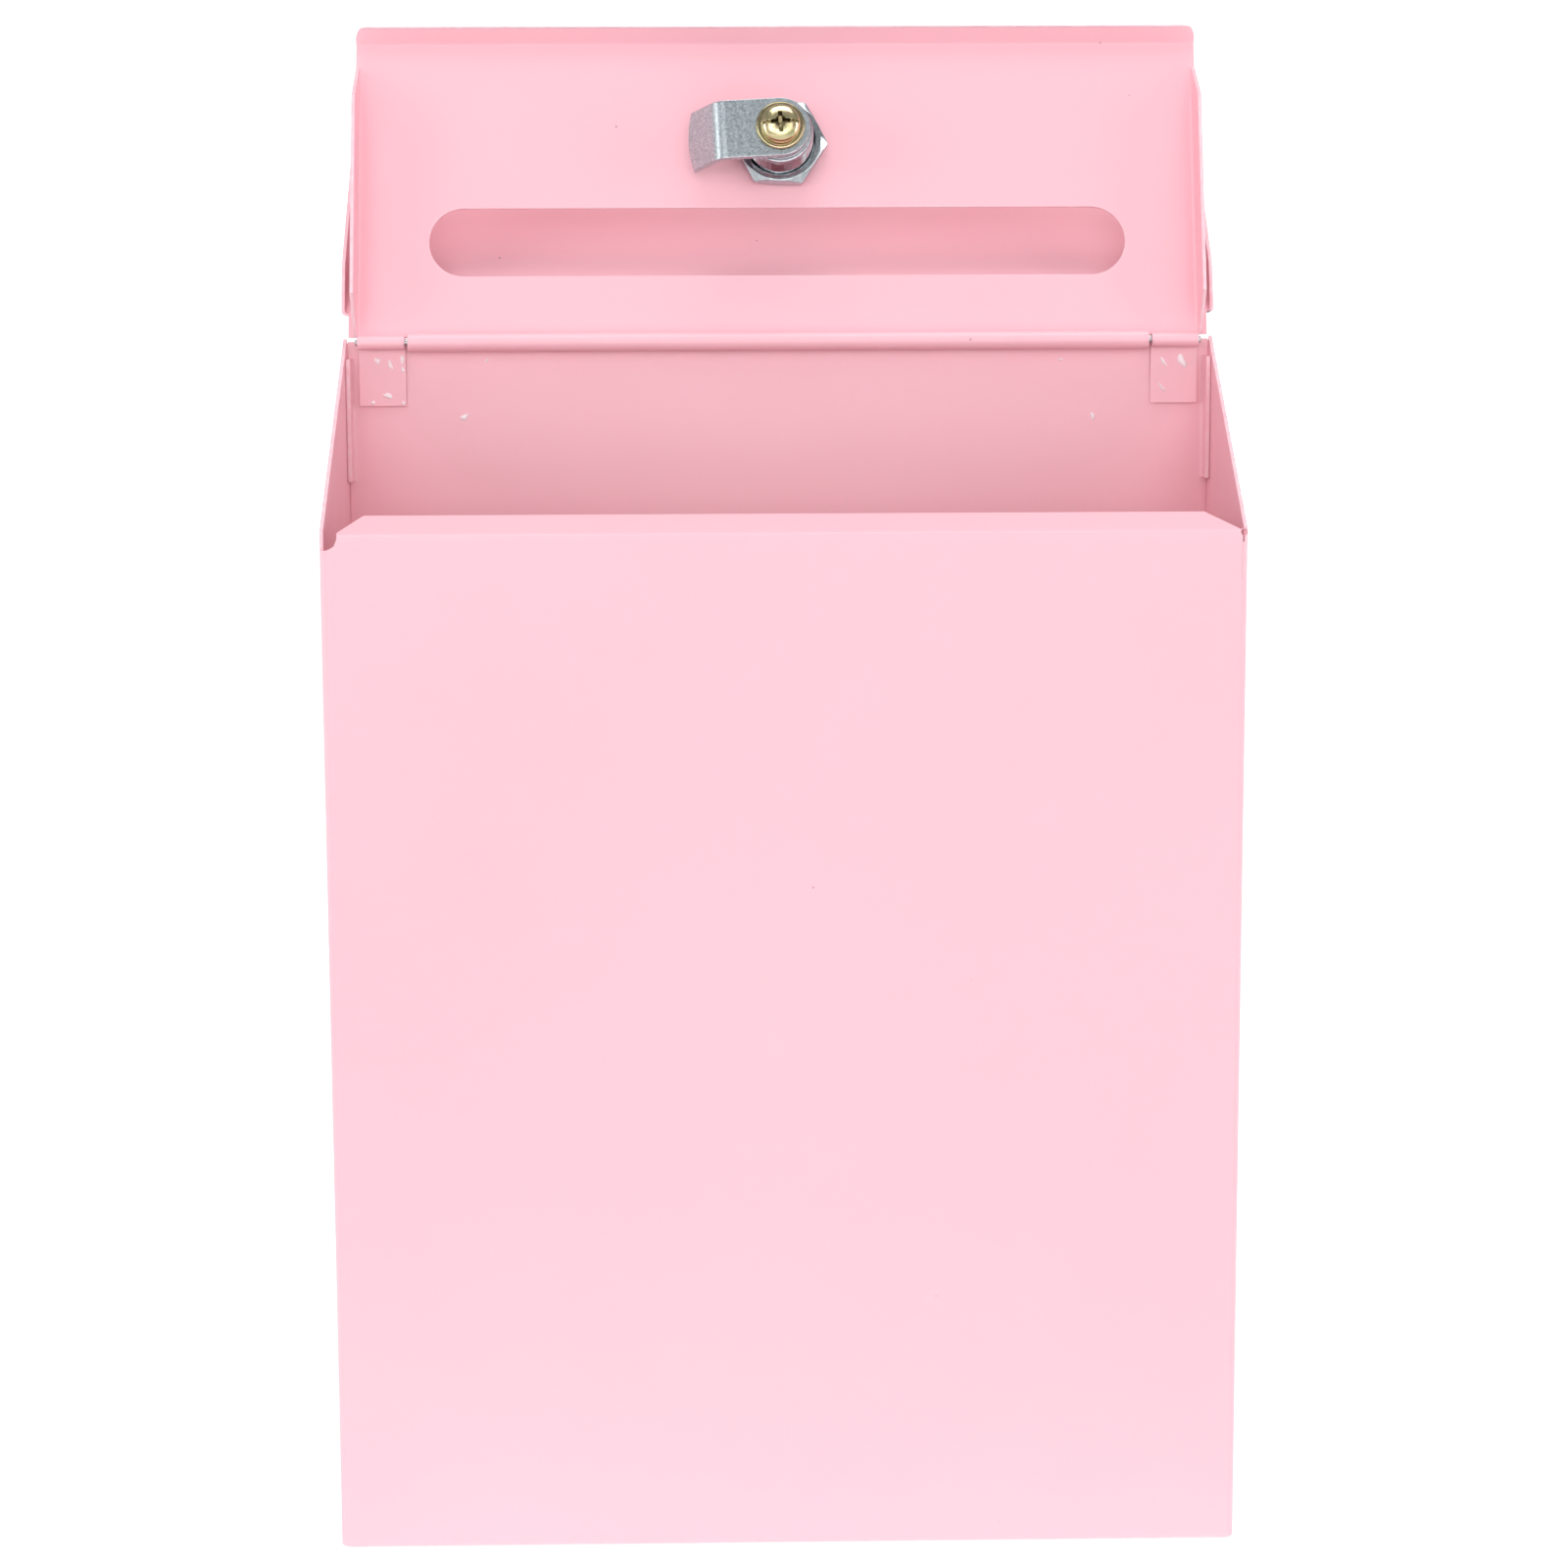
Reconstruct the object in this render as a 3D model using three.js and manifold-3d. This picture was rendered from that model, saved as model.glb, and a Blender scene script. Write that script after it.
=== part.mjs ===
// A wall-mounted donation box of folded sheet steel: a tall shallow box with a sloping top, closed by a
// hinged lid that has a letter slot, a rain hood over the slot and a cam lock. The lid stands open on its
// stop here, and the cam is turned aside. Millimetres, +Z up, the front faces -Y, and the origin is at
// the middle of the box's underside.
import * as THREE from 'three';
import { mergeVertices } from 'three/addons/utils/BufferGeometryUtils.js';
import Module from 'manifold-3d';

const wasm = await Module();
wasm.setup();

// ---------------------------------------------------------------- driving dimensions
const boxWidth = 240;
const boxDepth = 73;
const frontHeight = 271;
const backHeight = 320;
const sheet = 1; // thickness of the folded steel
const foldRadius = 1; // inside radius of every fold
const gap = 0.3; // air between neighbouring pieces
const wall = sheet / 2; // from a sheet's face to its middle line

const openLean = THREE.MathUtils.degToRad(17); // the open lid leans back past upright
const hingeDrop = 1; // hinge axis below the back edge of the sides
const rollRadius = 2.5; // outside of the lid's rolled edge
const pinRadius = 0.95;

const lidWidth = 234;
const lidLength = 86.1; // hinge axis to the fold of the lip
const lidFlange = 12;
const slotLength = 192.7;
const slotWidth = 19.4;
const slotCentre = 28.9; // from the hinge axis
const lockCentre = 56.5; // from the hinge axis
const lockAside = 0.7; // the lock sits this far to the right of the lid's middle
const hoodWidth = 241.2;
const hoodAngle = THREE.MathUtils.degToRad(30);
const hoodLength = 54;
const hoodCheek = 8.4;

// ---------------------------------------------------------------- derived places
const halfWidth = boxWidth / 2;
const frontY = -boxDepth / 2;
const backY = boxDepth / 2;
const slope = Math.atan2(backHeight - frontHeight, boxDepth);
const insideX = halfWidth - sheet;
const insideBackY = backY - sheet;
const axisY = insideBackY - gap - rollRadius;
const axisZ = backHeight - hingeDrop;
const panelInner = rollRadius - sheet; // the lid's inner face, measured from the hinge axis
const panelOuter = rollRadius;

// ---------------------------------------------------------------- materials
function finish(color, roughness, metalness) {
  return new THREE.MeshStandardMaterial({ color, roughness, metalness });
}
const pinkPaint = finish(0xf9c3cf, 0.38, 0.0);
const zincPlate = finish(0xb9c4c6, 0.35, 1.0);
const yellowZinc = finish(0xc9ae55, 0.3, 1.0);
const brass = finish(0xb08d4a, 0.35, 1.0);
const springSteel = finish(0x8f9497, 0.4, 1.0);

// ---------------------------------------------------------------- outlines
const at = (a, b) => new THREE.Vector2(a, b);

// The corners of a polyline rounded with arcs of one radius.
function filleted(corners, radius, steps = 4) {
  const points = [corners[0]];
  for (let i = 1; i < corners.length - 1; i += 1) {
    const corner = corners[i];
    const back = corners[i - 1].clone().sub(corner).normalize();
    const ahead = corners[i + 1].clone().sub(corner).normalize();
    const half = Math.acos(back.dot(ahead)) / 2;
    const middle = back.clone().add(ahead).normalize().multiplyScalar(radius / Math.sin(half)).add(corner);
    const start = back.multiplyScalar(radius / Math.tan(half)).add(corner).sub(middle);
    const end = ahead.multiplyScalar(radius / Math.tan(half)).add(corner).sub(middle);
    const sweep = Math.atan2(start.cross(end), start.dot(end));
    for (let k = 0; k <= steps; k += 1) {
      points.push(start.clone().rotateAround(at(0, 0), (sweep * k) / steps).add(middle));
    }
  }
  points.push(corners[corners.length - 1]);
  return points;
}

// Points on an arc about (a, b), from one angle to another, in degrees.
function arc(a, b, radius, from, to, steps) {
  return Array.from({ length: steps + 1 }, (_, k) => {
    const angle = THREE.MathUtils.degToRad(from + ((to - from) * k) / steps);
    return at(a + radius * Math.cos(angle), b + radius * Math.sin(angle));
  });
}

// The cross-section of a strip of metal whose middle line follows the points.
function strip(points, thickness = sheet) {
  const left = [];
  const right = [];
  points.forEach((point, i) => {
    const next = points[Math.min(i + 1, points.length - 1)];
    const last = points[Math.max(i - 1, 0)];
    const ahead = (i < points.length - 1 ? next.clone().sub(point) : point.clone().sub(last)).normalize();
    const back = (i > 0 ? point.clone().sub(last) : ahead.clone()).normalize();
    const along = back.add(ahead).normalize();
    const reach = thickness / 2 / along.dot(ahead);
    left.push(at(point.x - along.y * reach, point.y + along.x * reach));
    right.unshift(at(point.x + along.y * reach, point.y - along.x * reach));
  });
  return new THREE.Shape([...left, ...right]);
}

// Sheet folded along a few corners, with the usual fold radius.
const folded = (corners) => strip(filleted(corners, foldRadius + wall));

const polygon = (...pairs) => new THREE.Shape(pairs.map(([a, b]) => at(a, b)));
const rectangle = (a0, b0, a1, b1) => polygon([a0, b0], [a1, b0], [a1, b1], [a0, b1]);

function disc(radius, a = 0, b = 0) {
  const shape = new THREE.Shape();
  shape.absarc(a, b, radius, 0, 2 * Math.PI);
  return shape;
}

// A slot with full round ends, long along its first direction.
function obround(length, width, a, b) {
  const reach = (length - width) / 2;
  const shape = new THREE.Shape();
  shape.absarc(a + reach, b, width / 2, -Math.PI / 2, Math.PI / 2);
  shape.absarc(a - reach, b, width / 2, Math.PI / 2, 1.5 * Math.PI);
  return shape;
}

// ---------------------------------------------------------------- prisms and solids
function prism(shape, length, basis, origin, curveSegments) {
  const geometry = new THREE.ExtrudeGeometry(shape, { depth: length, bevelEnabled: false, curveSegments });
  const place = new THREE.Matrix4().makeBasis(...basis).setPosition(...origin);
  return geometry.applyMatrix4(place);
}
const unit = {
  x: new THREE.Vector3(1, 0, 0),
  y: new THREE.Vector3(0, 1, 0),
  z: new THREE.Vector3(0, 0, 1),
};
const towardFront = new THREE.Vector3(0, -1, 0);

// An outline in (y, z) drawn out along X, one in (x, z) along Y, and one in (x, y) along Z.
const alongX = (shape, from, to) => prism(shape, to - from, [unit.y, unit.z, unit.x], [from, 0, 0], 12);
const alongY = (shape, from, to) =>
  prism(shape, to - from, [unit.x, unit.z, towardFront], [0, to, 0], 14);
const alongZ = (shape, from, to) => prism(shape, to - from, [unit.x, unit.y, unit.z], [0, 0, from], 12);

function solid(geometry) {
  const bare = geometry.clone();
  bare.deleteAttribute('normal');
  bare.deleteAttribute('uv');
  const merged = mergeVertices(bare, 1e-4);
  const corners = Array.from(merged.index.array);
  const kept = [];
  for (let i = 0; i < corners.length; i += 3) {
    const [a, b, c] = corners.slice(i, i + 3);
    if (a !== b && b !== c && c !== a) kept.push(a, b, c);
  }
  const vertProperties = new Float32Array(merged.attributes.position.array);
  const triVerts = new Uint32Array(kept);
  return new wasm.Manifold(new wasm.Mesh({ numProp: 3, vertProperties, triVerts }));
}
const join = (...geometries) => geometries.map(solid).reduce((whole, piece) => whole.add(piece));
const cut = (whole, ...geometries) =>
  geometries.map(solid).reduce((left, tool) => left.subtract(tool), whole);

function mesh(name, body, material) {
  let geometry = body;
  if (body instanceof wasm.Manifold) {
    const { vertProperties, triVerts } = body.getMesh();
    geometry = new THREE.BufferGeometry();
    geometry.setAttribute('position', new THREE.BufferAttribute(vertProperties, 3));
    geometry.setIndex(new THREE.BufferAttribute(triVerts, 1));
    geometry.computeVertexNormals();
  }
  const node = new THREE.Mesh(geometry, material);
  node.name = name;
  return node;
}

// ---------------------------------------------------------------- the box
// Front and both sides are one sheet, folded in plan and cut off along the slope. A narrow flange with
// mitred ends turns in from the front's top edge for the lid to close on.
function frontAndSides() {
  const plan = folded([
    at(wall - halfWidth, backY),
    at(wall - halfWidth, frontY + wall),
    at(halfWidth - wall, frontY + wall),
    at(halfWidth - wall, backY),
  ]);
  const overhang = 5;
  const rise = overhang * Math.tan(slope);
  const clear = backHeight + 10 * overhang;
  const aboveSlope = polygon(
    [frontY - overhang, frontHeight - rise],
    [backY + overhang, backHeight + rise],
    [backY + overhang, clear],
    [frontY - overhang, clear],
  );
  const flangeWidth = 8.9;
  const flangeLeft = -232 / 2; // where the fold ends beside the larger relief
  const flangeRight = 237 / 2;
  const flangeEdge = 216 / 2; // half its length at the free edge
  const lap = 12; // how far down the front the flange's strip starts
  const alongSlope = (distance) =>
    at(
      frontY + distance * Math.cos(slope) + wall * Math.sin(slope),
      frontHeight + distance * Math.sin(slope) - wall * Math.cos(slope),
    );
  const foldLine = at(
    frontY + wall,
    frontHeight + wall * Math.tan(slope) - wall / Math.cos(slope),
  );
  const flange = folded([at(frontY + wall, frontHeight - lap), foldLine, alongSlope(flangeWidth)]);
  const rootY = frontY + sheet;
  const edgeY = rootY + flangeWidth * Math.cos(slope);
  const mitred = polygon(
    [flangeLeft, frontY - sheet],
    [flangeRight, frontY - sheet],
    [flangeRight, rootY],
    [flangeEdge, edgeY],
    [-flangeEdge, edgeY],
    [flangeLeft, rootY],
  );
  const mitreBlock = solid(alongZ(mitred, frontHeight - 2 * lap, frontHeight + 2 * lap));
  const turnedIn = solid(alongX(flange, -insideX, insideX)).intersect(mitreBlock);
  const foldDepth = 2 * sheet + foldRadius / 2; // the front stops here, and the flange's fold takes over
  const frontTop = rectangle(-insideX, frontHeight - foldDepth, insideX, frontHeight + lap);
  const leftRelief = disc(3.6, -insideX, frontHeight);
  const rightRelief = disc(0.9, insideX, frontHeight);
  const reliefDepth = 1.1 * sheet; // past the front's inner face
  const reliefs = [leftRelief, rightRelief].map((relief) =>
    alongY(relief, frontY - sheet, rootY + reliefDepth),
  );
  const sides = cut(
    solid(alongZ(plan, 0, backHeight)),
    alongX(aboveSlope, -boxWidth, boxWidth),
    alongY(frontTop, frontY - sheet, rootY + 0.2 * sheet),
  );
  return cut(sides.add(turnedIn), ...reliefs);
}

// The back is flat, with four mounting holes and tabs folded forward against the sides.
function backPanel() {
  const panelX = insideX - gap;
  const topDrop = 0.8; // below the back edge of the sides
  const plate = rectangle(-panelX, 0, panelX, backHeight - topDrop);
  const tabDepth = 6;
  const tabLap = 12; // where the tab's strip runs along the plate
  const tabX = panelX - wall;
  const tab = (side) =>
    folded([
      at(side * (tabX - tabLap), insideBackY + wall),
      at(side * tabX, insideBackY + wall),
      at(side * tabX, insideBackY - tabDepth),
    ]);
  const tabHeights = [
    [22, 62],
    [150, 190],
    [281, 314.5],
  ];
  const tabs = tabHeights.flatMap(([low, high]) => [-1, 1].map((side) => alongZ(tab(side), low, high)));
  const holeRadius = 3;
  const hole = (x, z) => alongY(disc(holeRadius, x, z), insideBackY - sheet, backY + sheet);
  const holes = [-80, 80].flatMap((x) => [60, 235].map((z) => hole(x, z)));
  return cut(join(alongY(plate, insideBackY, backY), ...tabs), ...holes);
}

// The bottom is a shallow pan that sits inside the walls.
function bottomPanel() {
  const flange = 10;
  const panX = insideX - gap;
  const panFront = frontY + sheet + gap;
  const panBack = insideBackY - gap;
  const lengthwise = folded([
    at(panFront + wall, flange),
    at(panFront + wall, wall),
    at(panBack - wall, wall),
    at(panBack - wall, flange),
  ]);
  const crosswise = folded([
    at(wall - panX, flange),
    at(wall - panX, wall),
    at(panX - wall, wall),
    at(panX - wall, flange),
  ]);
  const endRelief = 3;
  return join(
    alongX(lengthwise, endRelief - panX, panX - endRelief),
    alongY(crosswise, panFront + endRelief, panBack - endRelief),
  );
}

// ---------------------------------------------------------------- the hinge
const tabWidth = 12.9;
const tabOuterX = 115.7;
const tabSheet = 0.8;
const tabCurl = 1.9; // outside radius of the curl round the pin

// A leaf on the back panel whose top edge curls round the hinge pin.
function hingeTab(side) {
  const leafY = insideBackY - gap - tabSheet / 2;
  const curlLine = tabCurl - tabSheet / 2;
  const curl = arc(axisY, axisZ, curlLine, 300, 0, 20);
  const neck = at(axisY + curlLine, axisZ - 1);
  const leafTop = at(leafY, axisZ - 2.6);
  const leafEnd = at(leafY, axisZ - 17.4);
  const profile = strip([...curl, neck, leafTop, leafEnd], tabSheet);
  const outer = side * tabOuterX;
  const inner = side * (tabOuterX - tabWidth);
  return alongX(profile, Math.min(outer, inner), Math.max(outer, inner));
}

function hingePin() {
  const pinReach = 116.4;
  return alongX(disc(pinRadius, axisY, axisZ), -pinReach, pinReach);
}

// ---------------------------------------------------------------- the lid
// The lid and all that rides on it are drawn upright: Z runs from the hinge axis to the lip, +Y is the
// outer side of the lid, and the hinge axis is at the origin.
const rollReach = 101.9;
const lidHalf = lidWidth / 2;
const closedSlope =
  Math.atan2(axisZ - frontHeight, axisY - frontY) +
  Math.asin((panelInner - gap) / Math.hypot(axisY - frontY, axisZ - frontHeight));

// The panel with its plain-cut bottom edge beside the roll, a lip at the far end and a flange each side.
function lidPanel() {
  const panelMiddle = panelInner + wall;
  const flangeEdge = panelInner - lidFlange;
  const lip = 5.8;
  const lipTurn = Math.PI / 2 - closedSlope; // hangs plumb when the lid is shut
  const foldPoint = at(panelMiddle, lidLength);
  const lipEnd = at(panelMiddle - lip * Math.sin(lipTurn), lidLength + lip * Math.cos(lipTurn));
  const sideEdge = 1.9;
  const lipProfile = folded([at(panelMiddle, sideEdge), foldPoint, lipEnd]);
  const flangeEnd = 79; // the flange stops short of the lip, and both of its ends are cut back
  const outline = lidOutline(sideEdge, flangeEnd - wall, lipEnd.y + wall);
  const front = solid(alongX(lipProfile, -lidHalf, lidHalf)).intersect(
    solid(alongY(outline, -lidFlange, lidFlange)),
  );
  const rollLine = rollRadius - wall;
  const rollEnd = -296; // degrees round from the panel
  const roll = strip([at(panelMiddle, 2 * sideEdge), ...arc(0, 0, rollLine, 0, rollEnd, 28)]);
  const across = folded([
    at(wall - lidHalf, flangeEdge),
    at(wall - lidHalf, panelMiddle),
    at(lidHalf - wall, panelMiddle),
    at(lidHalf - wall, flangeEdge),
  ]);
  const fromTheSide = polygon(
    [panelOuter + 1, sideEdge],
    [panelOuter + 1, flangeEnd],
    [panelInner - wall, flangeEnd],
    [flangeEdge - 1, flangeEnd - lidFlange - 1],
    [flangeEdge - 1, sideEdge + lidFlange - 2],
    [panelInner - wall, sideEdge],
  );
  const tray = solid(alongZ(across, sideEdge, flangeEnd)).intersect(
    solid(alongX(fromTheSide, -lidWidth, lidWidth)),
  );
  const body = solid(alongX(roll, -rollReach, rollReach)).add(tray).add(front);
  const slot = obround(slotLength, slotWidth, 0, slotCentre);
  const lockHole = disc(lockBarrel + gap, lockAside, lockCentre);
  return cut(body, ...[slot, lockHole].map((shape) => alongY(shape, 0, 2 * panelOuter)));
}

// The lid seen from outside: held in between the flanges' folds, then full width, with the corners of
// the lip rounded off. The lip leans away, so its corners are flatter in this view.
function lidOutline(low, foldsEnd, high) {
  const across = 4.2;
  const up = 3.3;
  const narrow = lidHalf - sheet - foldRadius;
  const shape = new THREE.Shape();
  shape.moveTo(-narrow, low);
  shape.lineTo(narrow, low);
  shape.lineTo(narrow, foldsEnd);
  shape.lineTo(lidHalf, foldsEnd);
  shape.absellipse(lidHalf - across, high - up, across, up, 0, Math.PI / 2);
  shape.absellipse(across - lidHalf, high - up, across, up, Math.PI / 2, Math.PI);
  shape.lineTo(-lidHalf, foldsEnd);
  shape.lineTo(-narrow, foldsEnd);
  return shape;
}

// The hood is welded outside the lid by a narrow flange. Its roof rises over the slot, its ends turn
// down into cheeks, and a recess in its front edge leaves room for the key.
function hood() {
  const rootZ = 8;
  const flangeLow = 2.4;
  const flangeY = panelOuter + gap + wall;
  const root = at(flangeY, rootZ);
  const along = at(Math.sin(hoodAngle), Math.cos(hoodAngle));
  const down = at(-Math.cos(hoodAngle), Math.sin(hoodAngle));
  const tip = root.clone().addScaledVector(along, hoodLength);
  const alongRoof = new THREE.Vector3(0, along.x, along.y);
  const towardLid = new THREE.Vector3(0, down.x, down.y);

  const half = hoodWidth / 2;
  const cheekEdge = hoodCheek - wall;
  const across = folded([
    at(wall - half, cheekEdge),
    at(wall - half, 0),
    at(half - wall, 0),
    at(half - wall, cheekEdge),
  ]);
  const roofBasis = [unit.x, towardLid, alongRoof.clone().negate()];
  const cheekStart = 1; // clear of the fold at the root
  const tray = solid(prism(across, hoodLength - cheekStart, roofBasis, [0, tip.x, tip.y], 12));
  const outsideLid = rectangle(flangeY - wall, 0, flangeY + hoodLength, 2 * hoodLength);
  const trimmed = tray.intersect(solid(alongX(outsideLid, -hoodWidth, hoodWidth)));
  const flangeReach = half - sheet - foldRadius;
  const flange = folded([at(flangeY, flangeLow), root, root.clone().addScaledVector(along, hoodLength / 2)]);

  const recessStart = 46.5; // along the roof from its root
  const recessHalf = 36;
  const recessFlare = 10;
  const beyondTip = hoodLength + sheet;
  const recess = polygon(
    [-recessHalf, recessStart],
    [recessHalf, recessStart],
    [recessHalf + recessFlare, beyondTip],
    [-recessHalf - recessFlare, beyondTip],
  );
  const toolStart = root.clone().addScaledVector(down, -2 * sheet);
  const tool = prism(recess, 4 * sheet, [unit.x, alongRoof, towardLid], [0, toolStart.x, toolStart.y], 12);
  return cut(trimmed.add(solid(alongX(flange, -flangeReach, flangeReach))), tool);
}

// ---------------------------------------------------------------- the cam lock
// The lock is drawn about its own axis, which is the lid's normal: +Y is the key side.
const lockBarrel = 9.25; // radius of the threaded barrel
const barrelEnd = -10.9;
const plugRadius = 5.9;
const plugFace = 4.9;
const tang = 7; // square end of the plug
const squareHole = tang + 2 * gap;
const screwHole = 2.3; // radius
const waferCount = 5;
const waferThickness = 0.8;
const waferPitch = 2.2;
const waferHalf = 2.8; // half of a wafer's width
const waferTip = 6.7; // stands out of the plug
const waferHeel = 4.4; // and moves back by waferTravel when the key lifts it
const waferTravel = 0.9;
const springShelf = 1.4; // a wafer's notched corner starts here
const springSeat = 4.8; // the plug's wall behind the spring
const firstWafer = 2.4;
const waferY = (index) => firstWafer - index * waferPitch;

const square = (side) => rectangle(-side / 2, -side / 2, side / 2, side / 2);

// The housing has a face flange and a threaded barrel. Its bore is relieved all the way from where the
// wafers stand when the cam points aside to where they stand when it points to the lip.
function lockHousing() {
  const face = 11;
  const faceLow = panelOuter + gap;
  const faceHigh = faceLow + 2.6;
  const bore = plugRadius + gap;
  const chamfer = 0.5;
  const profile = [
    at(bore, barrelEnd),
    at(lockBarrel - chamfer, barrelEnd),
    at(lockBarrel, barrelEnd + chamfer),
    at(lockBarrel, faceLow),
    at(face, faceLow),
    at(face, faceHigh - 2 * chamfer),
    at(face - 2 * chamfer, faceHigh),
    at(bore, faceHigh),
    at(bore, barrelEnd),
  ];
  const reliefRadius = Math.hypot(waferTip, waferHalf) + gap;
  const margin = 28; // degrees to each side of a wafer's middle
  const sweep = arc(0, 0, reliefRadius, margin, -90 - margin, 24);
  const relief = new THREE.Shape([at(0, 0), ...sweep]);
  const reliefLow = waferY(waferCount - 1) - 2 * gap;
  const reliefHigh = firstWafer + waferThickness + 2 * gap;
  return cut(solid(new THREE.LatheGeometry(profile, 48)), alongY(relief, reliefLow, reliefHigh));
}

function lockNut() {
  const acrossFlats = 23.2;
  const turned = -2.5; // degrees, as it was tightened
  const corners = arc(0, 0, acrossFlats / Math.sqrt(3), turned, turned + 300, 5);
  const outline = new THREE.Shape(corners);
  outline.holes.push(disc(lockBarrel + gap));
  return alongY(outline, -2.8, panelInner - gap);
}

// The plug has a keyway, a cross slot for each wafer with a pocket for its spring, a square tang for the
// cam and a threaded hole for the cam screw.
function lockPlug() {
  const chamfer = 0.4;
  const profile = [
    at(0, barrelEnd),
    at(plugRadius, barrelEnd),
    at(plugRadius, plugFace - chamfer),
    at(plugRadius - chamfer, plugFace),
    at(0, plugFace),
  ];
  const body = solid(new THREE.LatheGeometry(profile, 40)).add(
    solid(alongY(square(tang), camOuter + gap, barrelEnd + 0.5)),
  );
  const keywayHalf = at(3.6, 0.9);
  const keyway = rectangle(-keywayHalf.x, -keywayHalf.y, keywayHalf.x, keywayHalf.y);
  const slotHalf = waferHalf + gap;
  const slotHeel = waferHeel + waferTravel + gap / 2;
  const slotShape = polygon(
    [-springSeat, slotHalf],
    [-springSeat, springShelf + gap],
    [-slotHeel, springShelf + gap],
    [-slotHeel, -slotHalf],
    [waferTip + gap, -slotHalf],
    [waferTip + gap, slotHalf],
  );
  const slots = Array.from({ length: waferCount }, (_, i) =>
    alongY(slotShape, waferY(i) - gap, waferY(i) + waferThickness + gap),
  );
  return cut(
    body,
    alongY(keyway, waferY(waferCount - 1) - gap, plugFace + 1),
    ...slots,
    alongY(disc(screwHole), camOuter - 1, screwEnd + gap),
  );
}

// A wafer is a plate with a window for the key and a notched corner for its spring.
function wafer(index) {
  const springRoom = 2.3; // the notch reaches this near to the plug's axis
  const shape = polygon(
    [-waferHeel, -waferHalf],
    [waferTip, -waferHalf],
    [waferTip, waferHalf],
    [-springRoom, waferHalf],
    [-springRoom, springShelf],
    [-waferHeel, springShelf],
  );
  shape.holes.push(rectangle(-2, -1.1, 3.4, 1));
  return alongY(shape, waferY(index), waferY(index) + waferThickness);
}

// A compression spring along X, as a round wire on a helix.
class Helix extends THREE.Curve {
  constructor(start, length, radius, turns, y, z) {
    super();
    Object.assign(this, { start, length, radius, turns, y, z });
  }

  getPoint(t, target = new THREE.Vector3()) {
    const angle = 2 * Math.PI * this.turns * t;
    return target.set(
      this.start + this.length * t,
      this.y + this.radius * Math.cos(angle),
      this.z + this.radius * Math.sin(angle),
    );
  }
}

function waferSpring(index) {
  const wire = 0.11;
  const coil = 0.4;
  const turns = 3.5;
  const length = 1.7;
  const middle = waferY(index) + waferThickness / 2;
  const helix = new Helix(-waferHeel, length, coil, turns, middle, (springShelf + waferHalf) / 2);
  return new THREE.ExtrudeGeometry(disc(wire), { steps: 30, extrudePath: helix, curveSegments: 3 });
}

const stopWasherOuter = barrelEnd - gap - 1.2;
const camInner = stopWasherOuter - gap;
const camThickness = 2;
const camOuter = camInner - camThickness;
const washerThickness = 0.8;
const screwEnd = camOuter + 8;

// A washer with a square hole, between the barrel's end and the cam.
function stopWasher() {
  const outline = disc(8.4);
  outline.holes.push(square(squareHole));
  return alongY(outline, stopWasherOuter, barrelEnd - gap);
}

// The cam is a plate on the plug's tang, bent back towards the lid so that its tip hooks under the
// front flange of the box.
function camPlate() {
  const camWidth = 16.4;
  const reach = 25;
  const bend = 16.6; // from the lock's axis
  const bendRadius = 3.4; // inside
  const tipY = -2.9;
  const middleY = camOuter + camThickness / 2;
  const line = filleted(
    [at(-12, middleY), at(bend, middleY), at(reach, tipY)],
    bendRadius + camThickness / 2,
    8,
  );
  const bent = prism(
    strip(line, camThickness),
    camWidth + 4,
    [new THREE.Vector3(-1, 0, 0), unit.y, new THREE.Vector3(0, 0, -1)],
    [0, 0, camWidth / 2 + 2],
    12,
  );
  const half = camWidth / 2;
  const outline = new THREE.Shape();
  outline.absarc(0, 0, half, -Math.PI / 2, Math.PI / 2);
  outline.lineTo(1 - reach, half);
  outline.quadraticCurveTo(-reach - 1.4, 0, 1 - reach, -half);
  const trimmed = solid(bent).intersect(solid(alongY(outline, camOuter - 1, 2)));
  return cut(trimmed, alongY(square(squareHole), camOuter - 1, camInner + 1));
}

function camWasher() {
  const outline = disc(6.7);
  outline.holes.push(disc(screwHole));
  return alongY(outline, camOuter - gap - washerThickness, camOuter - gap);
}

// A pan head screw with a cross recess.
function camScrew() {
  const seat = camOuter - 2 * gap - washerThickness;
  const headHeight = 3;
  const headRadius = 5.4;
  const rim = 0.6; // straight part of the head's side
  const shank = screwHole - gap;
  const dome = arc(0, 0, 1, 0, 90, 8).map((p) =>
    at(headRadius * p.x, seat - rim - (headHeight - rim) * p.y),
  );
  const below = [at(headRadius, seat), at(shank, seat), at(shank, screwEnd), at(0, screwEnd)];
  const profile = [...dome.reverse(), ...below];
  const crown = seat - headHeight;
  const recessDepth = 1.8;
  const recessArm = at(0.6, 3.1);
  const arm = rectangle(-recessArm.x, -recessArm.y, recessArm.x, recessArm.y);
  const recess = [0, 1].map((turn) =>
    alongY(arm, crown - 1, crown + recessDepth).rotateY((turn * Math.PI) / 2),
  );
  return cut(solid(new THREE.LatheGeometry(profile, 40)), ...recess);
}

// ---------------------------------------------------------------- assembly
const donationBox = new THREE.Group();
donationBox.add(
  mesh('front_and_sides', frontAndSides(), pinkPaint),
  mesh('back_panel', backPanel(), pinkPaint),
  mesh('bottom_panel', bottomPanel(), pinkPaint),
  mesh('hinge_tab_left', hingeTab(-1), pinkPaint),
  mesh('hinge_tab_right', hingeTab(1), pinkPaint),
  mesh('hinge_pin', hingePin(), zincPlate),
);

const lid = new THREE.Group();
lid.position.set(0, axisY, axisZ);
lid.rotation.x = -openLean;
lid.add(mesh('lid_panel', lidPanel(), pinkPaint), mesh('hood', hood(), pinkPaint));
donationBox.add(lid);

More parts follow.
